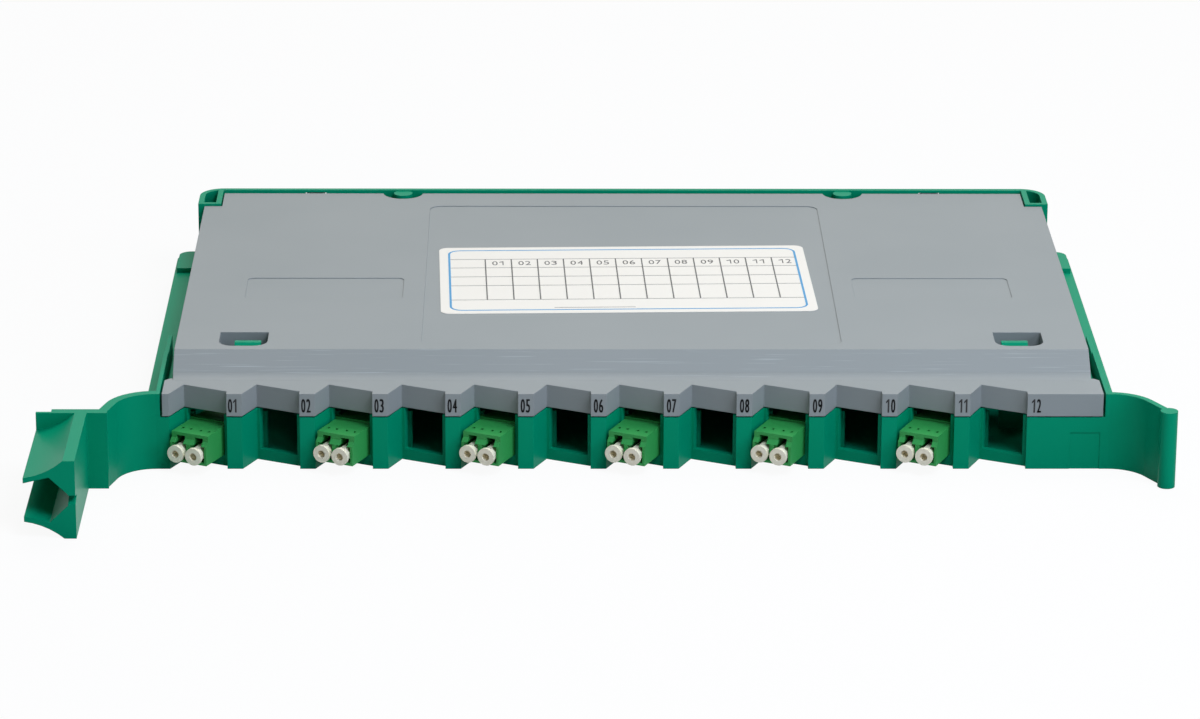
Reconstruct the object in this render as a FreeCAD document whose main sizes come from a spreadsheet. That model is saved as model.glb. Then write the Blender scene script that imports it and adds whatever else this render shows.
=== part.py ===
import FreeCAD, Part
import math
import os
import types

import Sketcher

# Fibre splice tray with a saw-tooth adapter wall.
# X runs to the right along the bays, Y runs back from the teeth, Z runs up.
# The origin is on the underside, midway between the teeth and the rear wall.

# Driving sizes in millimetres and degrees.
SIZES = {
    # Tray shell
    "tray_depth": 191.4,
    "tray_half_width": 145.2,
    "floor_thickness": 2.0,
    "side_wall": 1.9,
    "side_height": 20.0,
    "rear_wall": 2.0,
    "rear_height": 31.7,
    "rear_corner_radius": 8.0,
    "post_width": 7.8,
    "post_depth": 17.9,
    "post_wall": 1.8,
    # Adapter bays along the front
    "bay_count": 12,
    "bay_pitch": 22.5,
    "bay_angle": 25.0,
    "bay_face": 15.0,
    "tooth_width": 4.8,
    "bay_wall": 2.0,
    "bay_wall_height": 16.9,
    "bay_depth": 16.0,
    "sill_height": 3.5,
    "guide_wall": 1.2,
    "guide_lip": 1.1,
    "guide_height": 14.5,
    # Front corners, side cheeks and rails
    "cheek_offset": 2.2,
    "cheek_wall": 1.3,
    "cheek_depth": 58.0,
    "cheek_step_start": 40.0,
    "cheek_step_drop": 0.8,
    "patch_width": 9.3,
    "patch_height": 11.9,
    "patch_inset": 2.7,
    "patch_relief": 0.2,
    "rail_width": 7.2,
    "rail_thickness": 2.2,
    "rail_top": 13.0,
    "rail_length": 174.0,
    "rail_corner_radius": 4.0,
    "rail_stop_length": 18.5,
    "rail_stop_rise": 1.5,
    "rail_stop_inset": 0.7,
    # Arms that curve forward from the front corners
    "arm_height": 24.6,
    "arm_bend_radius": 12.0,
    "right_arm_sweep": 62.0,
    "right_arm_run": 10.5,
    "right_arm_wall": 2.0,
    "left_arm_sweep": 74.0,
    "left_arm_run": 8.0,
    "left_arm_wall": 3.0,
    "bead_radius": 2.7,
    # Pull grip on the left arm
    "grip_offset": 5.9,
    "grip_overlap": 0.9,
    "grip_width": 15.5,
    "grip_length": 42.2,
    "grip_strip": 3.6,
    "grip_flare": 5.4,
    "grip_flare_radius": 23.0,
    "grip_lip": 1.6,
    "grip_valley": 7.8,
    "grip_valley_height": 5.2,
    "grip_waist": 2.3,
    "grip_throat": 3.6,
    "grip_notch_depth": 5.0,
    "grip_notch_height": 2.8,
    "grip_plate": 3.5,
    "grip_plate_step": 4.6,
    "grip_step_plate": 1.2,
    "grip_plate_inset": 0.25,
    # Latches that reach up into the cover's windows
    "latch_shift": 1.45,
    "latch_setback": 3.6,
    "latch_width": 8.3,
    "latch_wall": 1.9,
    "latch_sink": 0.1,
    "latch_nose_gap": 1.4,
    "latch_nose_height": 3.2,
    # Stacking ledges, hinge slots and fibre entries at the rear wall
    "ledge_x": 75.6,
    "ledge_setback": 2.9,
    "ledge_top": 28.4,
    "ledge_bottom": 22.0,
    "boss_radius": 3.2,
    "boss_setback": 4.4,
    "boss_top": 31.4,
    "entry_x": 122.0,
    "entry_width": 11.0,
    "entry_height": 9.0,
    # Fibre drums and the splice holder on the floor
    "drum_x": 78.0,
    "drum_y": 106.0,
    "drum_radius": 30.0,
    "drum_wall": 1.8,
    "drum_height": 12.0,
    "drum_tab_width": 8.0,
    "drum_tab_reach": 5.0,
    "drum_tab_thickness": 1.5,
    "drum_tab_count": 4,
    "peg_radius": 2.0,
    "peg_height": 5.0,
    "peg_spacing": 40.0,
    "peg_fit": 0.1,
    "holder_length": 26.0,
    "holder_plate": 1.6,
    "holder_rib_count": 13,
    "holder_rib_pitch": 4.4,
    "holder_rib_wall": 1.2,
    "holder_rib_height": 7.0,
    "holder_margin": 3.0,
    # Cover
    "cover_top": 31.0,
    "cover_thickness": 2.0,
    "cover_plate_front": 23.9,
    "cover_slope_foot": 14.4,
    "cover_side_gap": 0.3,
    "cover_rear_gap": 0.5,
    "cover_post_gap": 0.4,
    "skirt_thickness": 1.6,
    "skirt_bottom": 17.5,
    "apron_top": 24.6,
    "apron_wall": 2.0,
    "apron_gap": 0.4,
    "apron_end_gap": 0.7,
    "apron_chamfer": 1.6,
    "window_x": 121.9,
    "window_width": 15.2,
    "window_front": 27.1,
    "window_depth": 13.1,
    "window_corner_radius": 4.5,
    "window_collar": 1.2,
    "window_collar_depth": 3.5,
    "notch_radius": 6.8,
    "hinge_radius": 1.2,
    "tongue_x": 105.7,
    "tongue_width": 6.4,
    "tongue_thickness": 1.4,
    "tongue_reach": 3.3,
    "tongue_gap": 0.35,
    "panel_side_margin": 5.5,
    "panel_front": 28.0,
    "panel_rear_margin": 17.8,
    "panel_corner_radius": 4.0,
    "relief_depth": 0.25,
    "pad_gap": 7.0,
    "pad_width": 50.8,
    "pad_front": 73.5,
    "pad_depth": 21.5,
    "pad_corner_radius": 2.0,
    # Paper label
    "label_x": -0.8,
    "label_y": 94.5,
    "label_turn": 1.5,
    "label_width": 121.0,
    "label_depth": 68.4,
    "label_corner_radius": 3.0,
    "label_thickness": 0.15,
    # Duplex adapters
    "adapter_width": 12.7,
    "adapter_height": 9.3,
    "adapter_length": 27.0,
    "adapter_reach": 10.4,
    "adapter_lip": 1.3,
    "adapter_lip_height": 6.2,
    "adapter_fit": 0.15,
    "collar_width": 15.2,
    "collar_thickness": 2.2,
    "collar_rise": 0.6,
    "collar_chamfer": 1.0,
    "port_pitch": 6.25,
    "port_width": 4.9,
    "port_floor": 0.8,
    "port_height": 5.3,
    "key_width": 2.8,
    "key_top": 8.3,
    "port_wall": 1.6,
    "top_slot_width": 0.8,
    "top_slot_length": 1.2,
    "top_slot_setback": 3.4,
    "top_slot_depth": 0.6,
    "ferrule_height": 3.4,
    "tube_radius": 1.2,
    "tube_length": 5.0,
    "sleeve_radius": 0.8,
    "sleeve_fit": 0.05,
    "sleeve_bore": 0.62,
    "sleeve_slot": 0.3,
    # Dust caps
    "cap_flange_radius": 2.75,
    "cap_flange_thickness": 1.1,
    "cap_fit": 0.3,
    "cap_length": 11.5,
    "cap_hole_radius": 1.2,
    "cap_hole_depth": 3.0,
    "cap_reach": 3.9,
}

# Half a flat of an octagon for each millimetre from its middle to the flat.
EIGHTH_TURN_SLOPE = math.tan(math.pi / 8)

# Bays that hold an adapter; the others stay open.
FILLED_BAYS = (1, 3, 5, 7, 9, 11)


class Size:
    """A length or angle worked out from the sheet: its expression and its present value."""

    def __init__(self, text, value):
        self.text = text
        self.value = value

    def __add__(self, other):
        other = as_size(other)
        return Size(f"({self.text} + {other.text})", self.value + other.value)

    def __sub__(self, other):
        other = as_size(other)
        return Size(f"({self.text} - {other.text})", self.value - other.value)

    def __mul__(self, other):
        other = as_size(other)
        return Size(f"({self.text} * {other.text})", self.value * other.value)

    def __truediv__(self, other):
        other = as_size(other)
        return Size(f"({self.text} / {other.text})", self.value / other.value)

    def __neg__(self):
        return Size(f"(-1 * {self.text})", -self.value)

    def __radd__(self, other):
        return as_size(other) + self

    def __rsub__(self, other):
        return as_size(other) - self

    def __rmul__(self, other):
        return as_size(other) * self


def as_size(value):
    """Take a plain number as a size."""
    if isinstance(value, Size):
        return value
    return Size(f"({value})", float(value))


def sine(angle):
    return Size(f"sin({angle.text})", math.sin(math.radians(angle.value)))


def cosine(angle):
    return Size(f"cos({angle.text})", math.cos(math.radians(angle.value)))


def tangent(angle):
    return Size(f"tan({angle.text})", math.tan(math.radians(angle.value)))


def slope_angle(rise, run):
    return Size(f"atan({rise.text} / {run.text})", math.degrees(math.atan(rise.value / run.value)))


def root(value):
    return Size(f"sqrt({value.text})", math.sqrt(value.value))


doc = FreeCAD.newDocument("fibre_splice_tray")
sheet = doc.addObject("Spreadsheet::Sheet", "Sizes")
for row, (alias, number) in enumerate(SIZES.items(), start=1):
    sheet.set(f"A{row}", alias)
    sheet.set(f"B{row}", str(number))
    sheet.setAlias(f"B{row}", alias)
doc.recompute()
dim = types.SimpleNamespace(**{alias: Size(f"Sizes.{alias}", number) for alias, number in SIZES.items()})


def bind(item, place, size):
    """Tie one value of an object to the sheet."""
    item.setExpression(place, as_size(size).text)


def origin_item(body, role):
    """Find a plane or axis of a body's own origin."""
    return [item for item in body.Origin.OriginFeatures if item.Role == role][0]


def new_body(label, x=0.0, y=0.0, z=0.0, turn=None):
    """Start a sub-part; its own frame has Y = 0 at the teeth unless it is placed elsewhere."""
    body = doc.addObject("PartDesign::Body", label)
    body.Label = label
    if turn is not None:
        body.Placement = FreeCAD.Placement(
            FreeCAD.Vector(), FreeCAD.Rotation(FreeCAD.Vector(0, 0, 1), as_size(turn).value)
        )
        bind(body, "Placement.Rotation.Angle", turn)
    bind(body, "Placement.Base.x", x)
    bind(body, "Placement.Base.y", as_size(y) - dim.tray_depth / 2)
    bind(body, "Placement.Base.z", z)
    return body


def bent_run(start, end, radius):
    """Arc from start to end; a positive radius turns left on the way, a negative one right."""
    across = end - start
    half = across.Length / 2
    left = FreeCAD.Vector(-across.y, across.x, 0).normalize()
    rise = math.sqrt(max(radius * radius - half * half, 0.0))
    center = start + across * 0.5 + left * math.copysign(rise, radius)
    first, last = (start, end) if radius > 0 else (end, start)
    circle = Part.Circle(center, FreeCAD.Vector(0, 0, 1), abs(radius))
    return Part.ArcOfCircle(circle, circle.parameter(first), circle.parameter(last))


def draw(sketch, points):
    """Closed outline through points (x, y) or (x, y, radius); the radius bends the run after it."""
    corners = [(as_size(point[0]), as_size(point[1])) for point in points]
    bends = [as_size(point[2]) if len(point) > 2 else None for point in points]
    places = [FreeCAD.Vector(x.value, y.value, 0) for x, y in corners]
    first = sketch.GeometryCount
    count = len(points)
    runs = []
    for index in range(count):
        start = places[index]
        end = places[(index + 1) % count]
        if bends[index] is None:
            runs.append(Part.LineSegment(start, end))
        else:
            runs.append(bent_run(start, end, bends[index].value))
    sketch.addGeometry(runs, False)
    heads = [2 if bend is not None and bend.value < 0 else 1 for bend in bends]
    constraints = []
    ties = []
    for index in range(count):
        following = (index + 1) % count
        tail = 3 - heads[index]
        constraints.append(
            Sketcher.Constraint("Coincident", first + index, tail, first + following, heads[following])
        )
    for index, (x, y) in enumerate(corners):
        for kind, size in (("DistanceX", x), ("DistanceY", y)):
            constraints.append(Sketcher.Constraint(kind, -1, 1, first + index, heads[index], size.value))
            ties.append((len(constraints) - 1, size))
    for index, bend in enumerate(bends):
        if bend is not None:
            constraints.append(Sketcher.Constraint("Radius", first + index, abs(bend.value)))
            ties.append((len(constraints) - 1, bend if bend.value > 0 else -bend))
    shift = sketch.ConstraintCount
    sketch.addConstraint(constraints)
    for index, size in ties:
        bind(sketch, f"Constraints[{shift + index}]", size)


def ring(x, y, radius):
    """Mark a full circle in an outline list."""
    return ("ring", as_size(x), as_size(y), as_size(radius))


def draw_ring(sketch, x, y, radius):
    """Full circle tied by its centre and radius."""
    index = sketch.GeometryCount
    center = FreeCAD.Vector(x.value, y.value, 0)
    sketch.addGeometry(Part.Circle(center, FreeCAD.Vector(0, 0, 1), radius.value), False)
    for kind, size in (("DistanceX", x), ("DistanceY", y)):
        tie = sketch.addConstraint(Sketcher.Constraint(kind, -1, 1, index, 3, size.value))
        bind(sketch, f"Constraints[{tie}]", size)
    tie = sketch.addConstraint(Sketcher.Constraint("Radius", index, radius.value))
    bind(sketch, f"Constraints[{tie}]", radius)


def new_sketch(body, name, plane, level, outlines, at=(0.0, 0.0)):
    """Sketch on an origin plane, raised to a level along the plane's normal and shifted within it."""
    sketch = body.newObject("Sketcher::SketchObject", name)
    sketch.AttachmentSupport = [(origin_item(body, plane), "")]
    sketch.MapMode = "FlatFace"
    for axis, size in zip("xyz", (*at, level)):
        bind(sketch, f"AttachmentOffset.Base.{axis}", size)
    for outline in outlines:
        if outline[0] == "ring":
            draw_ring(sketch, *outline[1:])
        else:
            draw(sketch, outline)
    return sketch


def pad(body, name, outlines, level, height, plane="XY_Plane", at=(0.0, 0.0)):
    """Raise outlines from a level along the plane's normal."""
    feature = body.newObject("PartDesign::Pad", name)
    feature.Profile = new_sketch(body, f"{name}_outline", plane, level, outlines, at)
    bind(feature, "Length", height)
    body.Tip = feature
    return feature


def pocket(body, name, outlines, level, depth, plane="XY_Plane", at=(0.0, 0.0)):
    """Cut outlines from a level against the plane's normal."""
    feature = body.newObject("PartDesign::Pocket", name)
    feature.Profile = new_sketch(body, f"{name}_outline", plane, level, outlines, at)
    bind(feature, "Length", depth)
    body.Tip = feature
    return feature


def row_of(body, name, features, pitch, count):
    """Repeat features along X."""
    feature = body.newObject("PartDesign::LinearPattern", name)
    feature.Originals = features
    feature.Direction = (origin_item(body, "X_Axis"), [""])
    bind(feature, "Length", pitch * (count - 1))
    bind(feature, "Occurrences", count)
    body.Tip = feature
    return feature


def mirrored(body, name, features):
    """Repeat features on the other side of the middle plane."""
    feature = body.newObject("PartDesign::Mirrored", name)
    feature.Originals = features
    feature.MirrorPlane = (origin_item(body, "YZ_Plane"), [""])
    body.Tip = feature
    return feature


def box(x_low, x_high, y_low, y_high):
    """Rectangular outline."""
    return [(x_low, y_low), (x_high, y_low), (x_high, y_high), (x_low, y_high)]


def rounded_box(x_low, x_high, y_low, y_high, radius):
    """Rectangular outline with round corners."""
    return [
        (x_low + radius, y_low),
        (x_high - radius, y_low, radius),
        (x_high, y_low + radius),
        (x_high, y_high - radius, radius),
        (x_high - radius, y_high),
        (x_low + radius, y_high, radius),
        (x_low, y_high - radius),
        (x_low, y_low + radius, radius),
    ]


def octagon(x, y, radius):
    """Eight-sided outline, as wide across its flats as a circle of this radius."""
    corner = radius * EIGHTH_TURN_SLOPE
    steps = [(radius, corner), (corner, radius), (-corner, radius), (-radius, corner)]
    steps += [(-across, -along) for across, along in steps]
    return [(x + across, y + along) for across, along in steps]


def both_sides(*outlines):
    """Outlines on the right and their mirror images on the left."""
    pairs = []
    for outline in outlines:
        pairs.append(outline)
        if outline[0] == "ring":
            pairs.append(("ring", -outline[1], *outline[2:]))
        else:
            pairs.append([(-point[0], point[1], *(-bend for bend in point[2:])) for point in outline])
    return pairs


# One bay of the saw-tooth wall: a slanted flank back from the tooth, then the adapter's face.
lean_sine = sine(dim.bay_angle)
lean_cosine = cosine(dim.bay_angle)
face_run = dim.bay_face * lean_cosine
face_rise = dim.bay_face * lean_sine
flank_run = dim.bay_pitch - dim.tooth_width - face_run
flank_rise = flank_run / tangent(dim.bay_angle)
face_end = flank_rise - face_rise
room_half_width = dim.tray_half_width - dim.side_wall
bay_start = -room_half_width
bays_end = bay_start + dim.bay_pitch * dim.bay_count
face_center_x = bay_start + flank_run + face_run / 2
face_center_y = flank_rise - face_rise / 2

# Places shared by the base and the cover.
rear_inner = dim.tray_depth - dim.rear_wall
cover_half_width = room_half_width - dim.cover_side_gap
cover_rear = rear_inner - dim.cover_rear_gap
hinge_y = cover_rear - dim.hinge_radius
hinge_z = dim.cover_top - dim.hinge_radius
post_inner = dim.tray_half_width - dim.post_width
post_front = dim.tray_depth - dim.post_depth
ledge_center = dim.tray_depth - dim.ledge_setback
cheek_outer = dim.tray_half_width + dim.cheek_offset
cheek_inner = cheek_outer - dim.cheek_wall
apron_bottom = dim.bay_wall_height + dim.apron_gap
apron_half_width = cheek_inner - dim.apron_end_gap

# Places shared by the bays and the adapters, measured from the middle of the bay's face.
collar_front = dim.bay_wall + dim.adapter_fit
collar_back = collar_front + dim.collar_thickness
adapter_floor = dim.sill_height + dim.adapter_fit
ferrule_z = adapter_floor + dim.ferrule_height
adapter_front = -dim.adapter_reach
adapter_back = dim.adapter_length - dim.adapter_reach
adapter_middle = (adapter_front + adapter_back) / 2


def bay_line():
    """Front line of one bay and the tooth to its right."""
    face_end_x = bay_start + flank_run + face_run
    return [
        (bay_start, 0.0),
        (bay_start + flank_run, flank_rise),
        (face_end_x, face_end),
        (face_end_x, 0.0),
        (bay_start + dim.bay_pitch, 0.0),
    ]


def bay_wall_outline(wall):
    """Saw-tooth wall of one bay, as thick as its wall along the flank and the face."""
    face_end_x = bay_start + flank_run + face_run
    return bay_line() + [
        (bay_start + dim.bay_pitch, wall / lean_sine),
        (face_end_x, face_end + wall / lean_cosine),
        (
            bay_start + flank_run + wall * (lean_sine - lean_cosine),
            flank_rise + wall * (lean_sine + lean_cosine),
        ),
        (bay_start, wall / lean_sine),
    ]


def bay_plate_outline(back):
    """Plate of one bay from the saw-tooth line to a straight back."""
    return bay_line() + [(bay_start + dim.bay_pitch, back), (bay_start, back)]


def on_face(along, inward):
    """Point of the first bay, measured along its face and inward from it."""
    x = face_center_x + along * lean_cosine + inward * lean_sine
    y = face_center_y - along * lean_sine + inward * lean_cosine
    return (x, y)


def guide_outline(side):
    """Post beside the window with a lip that keeps the adapter's collar against the wall."""
    inner = side * (dim.collar_width / 2 + dim.adapter_fit)
    outer = inner + side * dim.guide_wall
    lip = inner - side * dim.guide_lip
    root_depth = dim.bay_wall / 2
    lip_front = collar_back + dim.adapter_fit
    lip_back = lip_front + dim.guide_wall
    return [
        on_face(inner, root_depth),
        on_face(inner, lip_front),
        on_face(lip, lip_front),
        on_face(lip, lip_back),
        on_face(outer, lip_back),
        on_face(outer, root_depth),
    ]


def base_shell(body):
    """Floor with side walls, open towards the bays."""
    outer = dim.tray_half_width
    radius = dim.rear_corner_radius
    rear = dim.tray_depth
    outline = [
        (-outer, dim.bay_depth),
        (outer, dim.bay_depth),
        (outer, rear - radius, radius),
        (outer - radius, rear),
        (radius - outer, rear, radius),
        (-outer, rear - radius),
    ]
    pad(body, "shell", [outline], 0.0, dim.side_height)
    inner = room_half_width
    corner = radius - dim.rear_wall
    room = [
        (-inner, dim.bay_depth - dim.bay_wall),
        (inner, dim.bay_depth - dim.bay_wall),
        (inner, rear_inner - corner, corner),
        (inner - corner, rear_inner),
        (corner - inner, rear_inner, corner),
        (-inner, rear_inner - corner),
    ]
    pocket(body, "room", [room], dim.side_height, dim.side_height - dim.floor_thickness)


def base_bays(body):
    """Row of bays: floor, saw-tooth wall, collar guides and windows open at the top."""
    floor = pad(body, "bay_floor", [bay_plate_outline(dim.bay_depth)], 0.0, dim.floor_thickness)
    wall = pad(body, "bay_wall", [bay_wall_outline(dim.bay_wall)], 0.0, dim.bay_wall_height)
    guides = pad(body, "bay_guides", [guide_outline(-1), guide_outline(1)], 0.0, dim.guide_height)
    half = dim.adapter_width / 2 + dim.adapter_fit
    window = [
        on_face(-half, -dim.bay_wall),
        on_face(half, -dim.bay_wall),
        on_face(half, dim.bay_wall * 2),
        on_face(-half, dim.bay_wall * 2),
    ]
    opening = pocket(
        body, "bay_window", [window], dim.bay_wall_height, dim.bay_wall_height - dim.sill_height
    )
    row_of(body, "bays", [floor, wall, guides, opening], dim.bay_pitch, dim.bay_count)


def base_corners(body):
    """Front corners: left end of the wall, flat right end with a moulded patch, and raised cheeks."""
    outer = cheek_outer
    left = [
        (-outer, 0.0),
        (bay_start, 0.0),
        (bay_start, dim.bay_depth),
        (-dim.tray_half_width, dim.bay_depth),
        (-dim.tray_half_width, dim.cheek_depth),
        (-outer, dim.cheek_depth),
    ]
    pad(body, "left_corner", [left], 0.0, dim.bay_wall_height)
    right = [
        (bays_end, 0.0),
        (outer, 0.0),
        (outer, dim.cheek_depth),
        (dim.tray_half_width, dim.cheek_depth),
        (dim.tray_half_width, dim.bay_depth),
        (room_half_width, dim.bay_depth),
        (room_half_width, dim.bay_wall),
        (bays_end, dim.bay_wall),
    ]
    pad(body, "right_corner", [right], 0.0, dim.bay_wall_height)
    corner_floor = box(bays_end, room_half_width, dim.bay_wall, dim.bay_depth)
    pad(body, "right_floor", [corner_floor], 0.0, dim.floor_thickness)
    patch_right = outer - dim.patch_inset
    patch = box(patch_right - dim.patch_width, patch_right, 0.0, dim.patch_relief)
    pocket(body, "patch", [patch], dim.patch_height, dim.patch_height)
    low_top = dim.arm_height - dim.cheek_step_drop
    profile = [
        (0.0, 0.0),
        (dim.cheek_depth, 0.0),
        (dim.cheek_depth, low_top),
        (dim.cheek_step_start, low_top),
        (dim.cheek_step_start, dim.arm_height),
        (0.0, dim.arm_height),
    ]
    cheek = pad(body, "cheek", [profile], cheek_inner, dim.cheek_wall, "YZ_Plane")
    mirrored(body, "cheeks", [cheek])


def rail_outline(front, reach):
    """Flange beside the right wall, round at its rear outer corner."""
    radius = dim.rail_corner_radius
    return [
        (room_half_width, front),
        (reach, front),
        (reach, dim.rail_length - radius, radius),
        (reach - radius, dim.rail_length),
        (room_half_width, dim.rail_length),
    ]


def base_rails(body):
    """Slide rails along both sides, with a raised stop at the rear."""
    bottom = dim.rail_top - dim.rail_thickness
    reach = dim.tray_half_width + dim.rail_width
    rails = both_sides(rail_outline(0.0, reach))
    pad(body, "rails", rails, bottom, dim.rail_thickness)
    stop_start = dim.rail_length - dim.rail_stop_length
    stops = both_sides(rail_outline(stop_start, reach - dim.rail_stop_inset))
    pad(body, "rail_stops", stops, bottom, dim.rail_thickness + dim.rail_stop_rise)


def arm_points(wall, sweep, run):
    """Right-hand arm in plan: out from the front wall, round the bend and along a straight run."""
    bend = dim.arm_bend_radius
    turn_sine = sine(sweep)
    turn_cosine = cosine(sweep)
    inner_x = cheek_outer + bend * turn_sine
    inner_y = bend * (turn_cosine - 1)
    outer_x = cheek_outer + (bend + wall) * turn_sine
    outer_y = (bend + wall) * turn_cosine - bend
    run_x = run * turn_cosine
    run_y = run * turn_sine
    return types.SimpleNamespace(
        inner=(inner_x, inner_y),
        outer=(outer_x, outer_y),
        inner_end=(inner_x + run_x, inner_y - run_y),
        outer_end=(outer_x + run_x, outer_y - run_y),
    )


def arm_outline(arm, wall):
    """Closed outline of a right-hand arm that starts inside the cheek."""
    bend = dim.arm_bend_radius
    return [
        (cheek_inner, 0.0),
        (cheek_outer, 0.0, -bend),
        arm.inner,
        arm.inner_end,
        arm.outer_end,
        (*arm.outer, bend + wall),
        (cheek_outer, wall),
        (cheek_inner, wall),
    ]


def base_right_arm(body):
    """Curved right arm that ends in an upright bead."""
    arm = arm_points(dim.right_arm_wall, dim.right_arm_sweep, dim.right_arm_run)
    pad(body, "right_arm", [arm_outline(arm, dim.right_arm_wall)], 0.0, dim.arm_height)
    bead_x = (arm.inner_end[0] + arm.outer_end[0]) / 2
    bead_y = (arm.inner_end[1] + arm.outer_end[1]) / 2
    pad(body, "bead", [ring(bead_x, bead_y, dim.bead_radius)], 0.0, dim.arm_height)


def base_left_arm(body):
    """Curved left arm and the pull grip: a thin waist with two flared lips about a finger hollow."""
    arm = arm_points(dim.left_arm_wall, dim.left_arm_sweep, dim.left_arm_run)
    outline = both_sides(arm_outline(arm, dim.left_arm_wall))[1]
    pad(body, "left_arm", [outline], 0.0, dim.arm_height)
    top = dim.arm_height
    middle = top / 2
    right = -arm.inner_end[0] - dim.grip_offset
    left = right - dim.grip_width
    back = arm.inner_end[1] - dim.grip_overlap
    strip = right - dim.grip_strip
    waist = right - dim.grip_waist
    valley = right - dim.grip_valley
    low_lip = dim.grip_flare + dim.grip_lip
    half_throat = dim.grip_throat / 2
    section = [
        (right, 0.0),
        (right, top),
        (strip, top, -dim.grip_flare_radius),
        (left, top - dim.grip_flare),
        (left, top - low_lip),
        (valley, top - dim.grip_valley_height),
        (waist, middle + half_throat),
        (waist, middle - half_throat),
        (valley, dim.grip_valley_height),
        (left, low_lip),
        (left, dim.grip_flare, -dim.grip_flare_radius),
        (strip, 0.0),
    ]
    pad(body, "grip", [section], -back, dim.grip_length, "XZ_Plane")
    front = back - dim.grip_length
    half_notch = dim.grip_notch_height / 2
    notch = [
        (front, middle + half_notch),
        (front, middle - half_notch),
        (front + dim.grip_notch_depth, middle),
    ]
    pocket(body, "grip_notch", [notch], right, dim.grip_strip, "YZ_Plane")
    plate_right = dim.grip_plate_inset - arm.inner_end[0]
    step_x = left + dim.grip_plate_step
    plate = [
        (left, back),
        (plate_right, back),
        (plate_right, back + dim.grip_plate),
        (step_x, back + dim.grip_plate),
        (step_x, back + dim.grip_step_plate),
        (left, back + dim.grip_step_plate),
    ]
    pad(body, "grip_plate", [plate], 0.0, top)


def base_rear(body):
    """Rear wall, hollow corner posts, stacking ledges, hinge slots and fibre entries."""
    outer = dim.tray_half_width
    radius = dim.rear_corner_radius
    rear = dim.tray_depth
    wall_rise = dim.rear_height - dim.floor_thickness
    wall = box(radius - outer, outer - radius, rear_inner, rear)
    pad(body, "rear_wall", [wall], dim.floor_thickness, wall_rise)
    post = [
        (post_inner, post_front),
        (outer, post_front),
        (outer, rear - radius, radius),
        (outer - radius, rear),
        (outer - radius * 2, rear),
        (outer - radius * 2, rear_inner),
        (post_inner, rear_inner),
    ]
    hollow_x = post_inner + dim.post_wall
    hollow_radius = radius - dim.side_wall
    hollow_run = hollow_x - (outer - radius)
    hollow_rise = root(hollow_radius * hollow_radius - hollow_run * hollow_run)
    hollow = [
        (hollow_x, post_front + dim.post_wall),
        (outer - dim.side_wall, post_front + dim.post_wall),
        (outer - dim.side_wall, rear - radius, hollow_radius),
        (hollow_x, rear - radius + hollow_rise),
    ]
    pad(body, "posts", both_sides(post, hollow), dim.floor_thickness, wall_rise)
    ledge_radius = dim.notch_radius - dim.cover_post_gap
    ledge = [
        (dim.ledge_x - ledge_radius, rear - dim.rear_wall / 2),
        (dim.ledge_x - ledge_radius, ledge_center, ledge_radius),
        (dim.ledge_x, ledge_center - ledge_radius, ledge_radius),
        (dim.ledge_x + ledge_radius, ledge_center),
        (dim.ledge_x + ledge_radius, rear - dim.rear_wall / 2),
    ]
    pad(body, "ledges", both_sides(ledge), dim.ledge_bottom, dim.ledge_top - dim.ledge_bottom)
    disc = ring(dim.ledge_x, rear - dim.boss_setback, dim.boss_radius)
    pad(body, "bosses", both_sides(disc), dim.ledge_bottom, dim.boss_top - dim.ledge_bottom)
    half_slot = dim.tongue_width / 2 + dim.tongue_gap
    half_tongue = dim.tongue_thickness / 2
    swing = root(
        dim.tongue_reach * dim.tongue_reach + half_tongue * half_tongue
        - (rear_inner - hinge_y) * (rear_inner - hinge_y)
    )
    slot_top = hinge_z + half_tongue + dim.tongue_gap
    slot_bottom = hinge_z - swing - dim.tongue_gap
    margin = dim.rear_wall / 2
    through = box(
        dim.tongue_x - half_slot, dim.tongue_x + half_slot, rear_inner - margin, rear + margin
    )
    pocket(body, "hinge_slots", both_sides(through), slot_top, slot_top - slot_bottom)
    half_entry = dim.entry_width / 2
    entry = box(dim.entry_x - half_entry, dim.entry_x + half_entry, rear_inner - margin, rear + margin)
    entry_top = dim.floor_thickness + dim.entry_height
    pocket(body, "fibre_entries", both_sides(entry), entry_top, dim.entry_height)


def base_latches(body):
    """Upright latch blades with a nose towards the front of the cover's windows."""
    front = dim.window_front + dim.latch_setback
    back = front + dim.latch_wall
    top = dim.cover_top - dim.latch_sink
    nose = dim.window_front + dim.latch_nose_gap
    profile = [
        (front, 0.0),
        (back, 0.0),
        (back, top),
        (front, top),
        (nose, top - dim.latch_nose_height / 2),
        (front, top - dim.latch_nose_height),
    ]
    inner = dim.window_x - dim.latch_shift - dim.latch_width / 2
    blade = pad(body, "latch", [profile], inner, dim.latch_width, "YZ_Plane")
    mirrored(body, "latches", [blade])


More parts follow.
